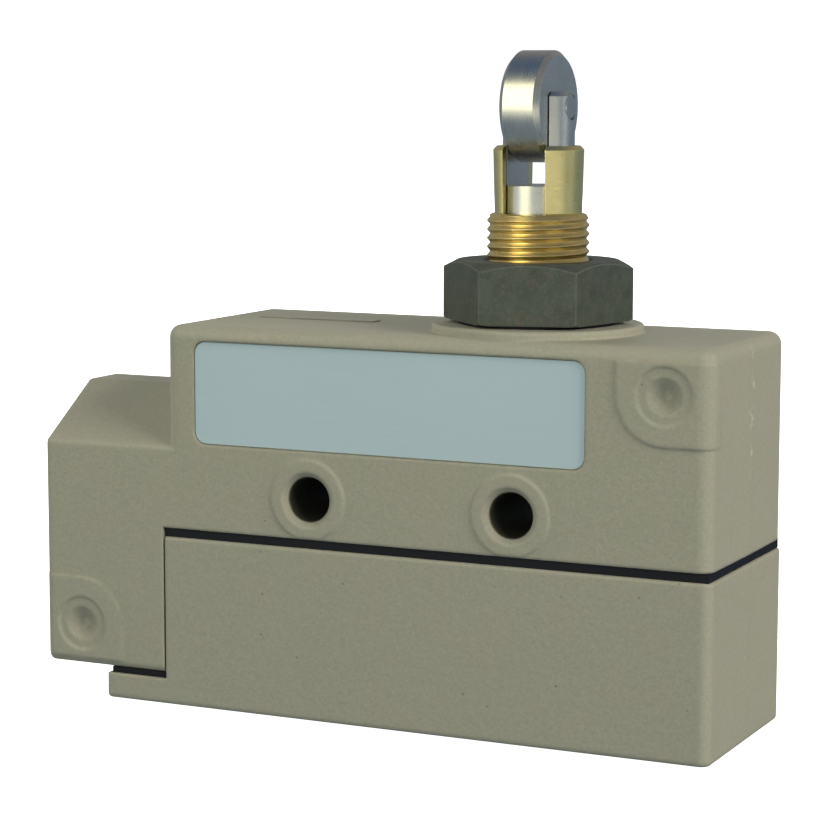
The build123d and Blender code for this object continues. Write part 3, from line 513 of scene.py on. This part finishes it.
# threaded sleeve: turned body with a real right-hand thread, slotted for the roller
def lathe_thread(name):
    seg = 144
    pitch_t = 1.0
    z_lo, z_hi = 42.05, 58.8
    rows = []
    step = pitch_t / 8.0
    zs = [z_lo]
    while zs[-1] < z_hi - 1e-6:
        zs.append(min(zs[-1] + step, z_hi))
    verts, faces = [], []

    def rad(z, ang):
        ph = (z / pitch_t - ang / (2 * math.pi)) % 1.0
        # 60 degree flanks, small flat crest, rounded root
        tri = abs(2 * ph - 1)                # 0 crest, 1 root
        d = max(0.0, min(1.0, (tri - 0.12) / 0.76))
        r = 5.88 - 0.34 * d
        lead = min(1.0, (z - z_lo) / 0.9)
        out = min(1.0, (z_hi - z) / 0.7)
        lim = 5.50 + 0.38 * max(0.0, min(lead, out))
        return min(r, lim)

    for z in zs:
        for k in range(seg):
            a = 2 * math.pi * k / seg
            r = rad(z, a) * MM
            verts.append((AX + r * math.cos(a), r * math.sin(a), z_(z)))
    n = len(zs)
    for i in range(n - 1):
        for k in range(seg):
            a, b = i * seg + k, i * seg + (k + 1) % seg
            faces.append((a, b, b + seg, a + seg))
    # collar above and bore inside
    prof = [(5.0, 58.97), (5.19, 66.15), (4.78, 66.57), (4.27, 66.57), (4.18, 66.5),
            (4.18, 52.78), (4.62, 52.78), (4.62, 42.07)]
    base = (n - 1) * seg
    for (r, z) in prof:
        for k in range(seg):
            a = 2 * math.pi * k / seg
            verts.append((AX + r * MM * math.cos(a), r * MM * math.sin(a), z_(z)))
    for j in range(len(prof)):
        top = base + (j + 1) * seg
        low = base + j * seg
        for k in range(seg):
            k2 = (k + 1) % seg
            faces.append((low + k, low + k2, top + k2, top + k))
    last = base + len(prof) * seg
    for k in range(seg):
        k2 = (k + 1) % seg
        faces.append((last + k, last + k2, k2, k))
    return verts, faces


v, f = lathe_thread("sleeve")
sleeve = make("sleeve_turned", v, f, "brass", "case", True, 28.0)
cut_me = bpy.data.meshes.new("sleeve_cutter")
hx, hy = 2.6 * MM, 8 * MM
cz0, cz1 = z_(58.9), z_(70)
cv = [(AX + sx * hx, sy * hy, z) for z in (cz0, cz1) for sx, sy in ((-1, -1), (1, -1), (1, 1), (-1, 1))]
cut_me.from_pydata(cv, [], [(0, 3, 2, 1), (4, 5, 6, 7), (0, 1, 5, 4), (1, 2, 6, 5), (2, 3, 7, 6), (3, 0, 4, 7)])
cutter = bpy.data.objects.new("sleeve_cutter", cut_me)
scene.collection.objects.link(cutter)
mod = sleeve.modifiers.new("slot", "BOOLEAN")
mod.operation = "DIFFERENCE"
mod.solver = "EXACT"
mod.object = cutter
bpy.context.view_layer.update()
dg = bpy.context.evaluated_depsgraph_get()
done = bpy.data.meshes.new_from_object(sleeve.evaluated_get(dg))
sleeve.modifiers.remove(mod)
old = sleeve.data
sleeve.data = done
bpy.data.meshes.remove(old)
bpy.data.objects.remove(cutter)
bpy.data.meshes.remove(cut_me)
sleeve.data.materials.clear()
sleeve.data.materials.append(MATS["brass"])
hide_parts("threaded_sleeve")


# thread inside the conduit entry: one continuous ridge on the bore wall
def conduit_thread():
    r_wall, r_crest = 9.30, 8.72
    x0, x1 = -41.55 + 0.21, -27.2 + 0.21
    p = 25.4 / 14
    turns = (x1 - x0) / p
    n = int(turns * 72)
    verts, faces = [], []
    for i in range(n + 1):
        u = i / 72.0
        a = 2 * math.pi * u
        xc = x0 + 0.6 + (x1 - x0 - 1.2) * i / n
        grow = max(0.02, min(1.0, i / 30.0, (n - i) / 30.0))
        rc = r_wall - (r_wall - r_crest) * grow
        for (dx, r) in ((-0.52, r_wall), (-0.12, rc), (0.12, rc), (0.52, r_wall)):
            verts.append(((xc + dx) * MM, r * MM * math.cos(a), z_(17.0) + r * MM * math.sin(a)))
    for i in range(n):
        b = i * 4
        for k in range(3):
            faces.append((b + k, b + k + 1, b + k + 5, b + k + 4))
        faces.append((b + 3, b, b + 4, b + 7))
    faces.append((0, 1, 2, 3))
    faces.append((n * 4 + 3, n * 4 + 2, n * 4 + 1, n * 4))
    return verts, faces


v, f = conduit_thread()
make("conduit_thread", v, f, "case_paint", "case", True, 25.0)

# ------------------------------------------------------------------ stage and light
def link(ob):
    scene.collection.objects.link(ob)
    return ob


floor_mesh = bpy.data.meshes.new("floor")
bm = bmesh.new()
bmesh.ops.create_circle(bm, cap_ends=True, radius=30, segments=96)
bm.to_mesh(floor_mesh)
bm.free()
floor = link(bpy.data.objects.new("floor", floor_mesh))
floor.location = (0, 0, -0.00002)
fm = bpy.data.materials.new("floor")
fm.use_nodes = True
ft = fm.node_tree
fb = next(n for n in ft.nodes if n.type == "BSDF_PRINCIPLED")
fb.inputs["Base Color"].default_value = (0.90, 0.90, 0.90, 1)
fb.inputs["Roughness"].default_value = 0.9
fb.inputs["Specular IOR Level"].default_value = 0.0
out = next(n for n in ft.nodes if n.type == "OUTPUT_MATERIAL")
glow = ft.nodes.new("ShaderNodeEmission")
glow.inputs["Color"].default_value = (1, 1, 1, 1)
glow.inputs["Strength"].default_value = FLOOR_GLOW
dim = ft.nodes.new("ShaderNodeEmission")
dim.inputs["Color"].default_value = (0.17, 0.21, 0.24, 1)
fcoord = ft.nodes.new("ShaderNodeTexCoord")
flen = ft.nodes.new("ShaderNodeVectorMath")
flen.operation = "LENGTH"
ft.links.new(fcoord.outputs["Object"], flen.inputs[0])
fsep = ft.nodes.new("ShaderNodeSeparateXYZ")
ft.links.new(fcoord.outputs["Object"], fsep.inputs[0])


def franger(value, lo, hi, to_lo, to_hi):
    n = ft.nodes.new("ShaderNodeMapRange")
    for key_name, v in zip(("From Min", "From Max", "To Min", "To Max"), (lo, hi, to_lo, to_hi)):
        n.inputs[key_name].default_value = v
    ft.links.new(value, n.inputs["Value"])
    return n.outputs["Result"]


far = franger(flen.outputs["Value"], 0.16, 0.36, 0.0, 1.0)
ahead = franger(fsep.outputs["Y"], -0.08, 0.12, 1.0, 0.0)
fpath = ft.nodes.new("ShaderNodeLightPath")
fmul = ft.nodes.new("ShaderNodeMath")
fmul.operation = "MULTIPLY"
ft.links.new(far, fmul.inputs[0])
ft.links.new(ahead, fmul.inputs[1])
fmul2 = ft.nodes.new("ShaderNodeMath")
fmul2.operation = "MULTIPLY"
ft.links.new(fmul.outputs[0], fmul2.inputs[0])
ft.links.new(fpath.outputs["Is Glossy Ray"], fmul2.inputs[1])
fmix = ft.nodes.new("ShaderNodeMix")
fmix.data_type = "RGBA"
fmix.inputs[6].default_value = (0.17, 0.21, 0.24, 1)
fmix.inputs[7].default_value = (1.0, 0.98, 0.80, 1)
ft.links.new(fmul2.outputs[0], fmix.inputs[0])
ft.links.new(fmix.outputs[2], dim.inputs["Color"])
lp = ft.nodes.new("ShaderNodeLightPath")
add = ft.nodes.new("ShaderNodeAddShader")
mx = ft.nodes.new("ShaderNodeMixShader")
ft.links.new(fb.outputs[0], add.inputs[0])
ft.links.new(glow.outputs[0], add.inputs[1])
ft.links.new(lp.outputs["Is Camera Ray"], mx.inputs[0])
ft.links.new(dim.outputs[0], mx.inputs[1])
ft.links.new(add.outputs[0], mx.inputs[2])
ft.links.new(mx.outputs[0], out.inputs["Surface"])
floor_mesh.materials.append(fm)

world = bpy.data.worlds.new("studio")
scene.world = world
world.use_nodes = True
wt = world.node_tree
wt.nodes.clear()
wout = wt.nodes.new("ShaderNodeOutputWorld")
wlp = wt.nodes.new("ShaderNodeLightPath")
white = wt.nodes.new("ShaderNodeBackground")
white.inputs["Color"].default_value = (1, 1, 1, 1)
white.inputs["Strength"].default_value = 1.0
room = wt.nodes.new("ShaderNodeBackground")
wc = wt.nodes.new("ShaderNodeTexCoord")
sep = wt.nodes.new("ShaderNodeSeparateXYZ")
wt.links.new(wc.outputs["Generated"], sep.inputs[0])
ramp = wt.nodes.new("ShaderNodeValToRGB")
els = ramp.color_ramp.elements
stops = [(0.0, (0.16, 0.20, 0.24)), (0.44, (0.16, 0.20, 0.23)), (0.52, (0.20, 0.25, 0.29)),
         (0.70, (0.27, 0.28, 0.27)), (0.84, (0.24, 0.22, 0.20)), (0.93, (0.10, 0.14, 0.20)),
         (1.0, (0.05, 0.09, 0.17))]
while len(els) < len(stops):
    els.new(0.5)
for e, (p, c) in zip(els, stops):
    e.position = p
    e.color = (*c, 1)
half = wt.nodes.new("ShaderNodeMapRange")
half.inputs["From Min"].default_value = -1
half.inputs["From Max"].default_value = 1
wt.links.new(sep.outputs["Z"], half.inputs["Value"])
wt.links.new(half.outputs["Result"], ramp.inputs["Fac"])
wt.links.new(ramp.outputs["Color"], room.inputs["Color"])
room.inputs["Strength"].default_value = ROOM
wmix = wt.nodes.new("ShaderNodeMixShader")
wt.links.new(wlp.outputs["Is Camera Ray"], wmix.inputs[0])
wt.links.new(room.outputs[0], wmix.inputs[1])
wt.links.new(white.outputs[0], wmix.inputs[2])
wt.links.new(wmix.outputs[0], wout.inputs["Surface"])


def area(name, location, size, power, color=(1, 1, 1), target=(0, 0, 0.035)):
    d = bpy.data.lights.new(name, "AREA")
    d.shape = "RECTANGLE"
    d.size, d.size_y = size
    d.energy = power
    d.color = color
    o = link(bpy.data.objects.new(name, d))
    o.location = location
    o.rotation_mode = "QUATERNION"
    o.rotation_quaternion = (Vector(target) - Vector(location)).to_track_quat("-Z", "Y")
    return o


# a tall warm card that the metal mirrors, and lights that only the surfaces see
card = area("card", (-0.45, -1.12, 0.46), (0.8, 1.25), CARD, (1.0, 0.965, 0.60), (0.0, 0, 0.06))
card.visible_diffuse = False
side = area("side", (0.95, 0.42, 0.16), (0.35, 0.5), SIDE, (1.0, 0.98, 0.9), (0.0, 0, 0.05))
side.visible_diffuse = False
for lamp in (
    area("fill", (-0.10, -1.15, 0.24), (0.5, 0.4), FILL, (1.0, 1.0, 0.985)),
    area("key", (1.0, -0.22, 0.52), (0.5, 0.5), KEY, (1.0, 0.955, 0.93)),
    area("top", (-0.2, -0.2, 1.2), (0.8, 0.8), TOP, (0.96, 0.98, 1.0)),
    area("left", (-1.0, -0.05, 0.45), (0.5, 0.5), LEFT, (1.0, 0.91, 0.80)),
    area("rear", (-0.5, 1.1, 0.5), (0.8, 0.6), REAR, (0.97, 0.98, 1.0)),
):
    lamp.visible_glossy = False
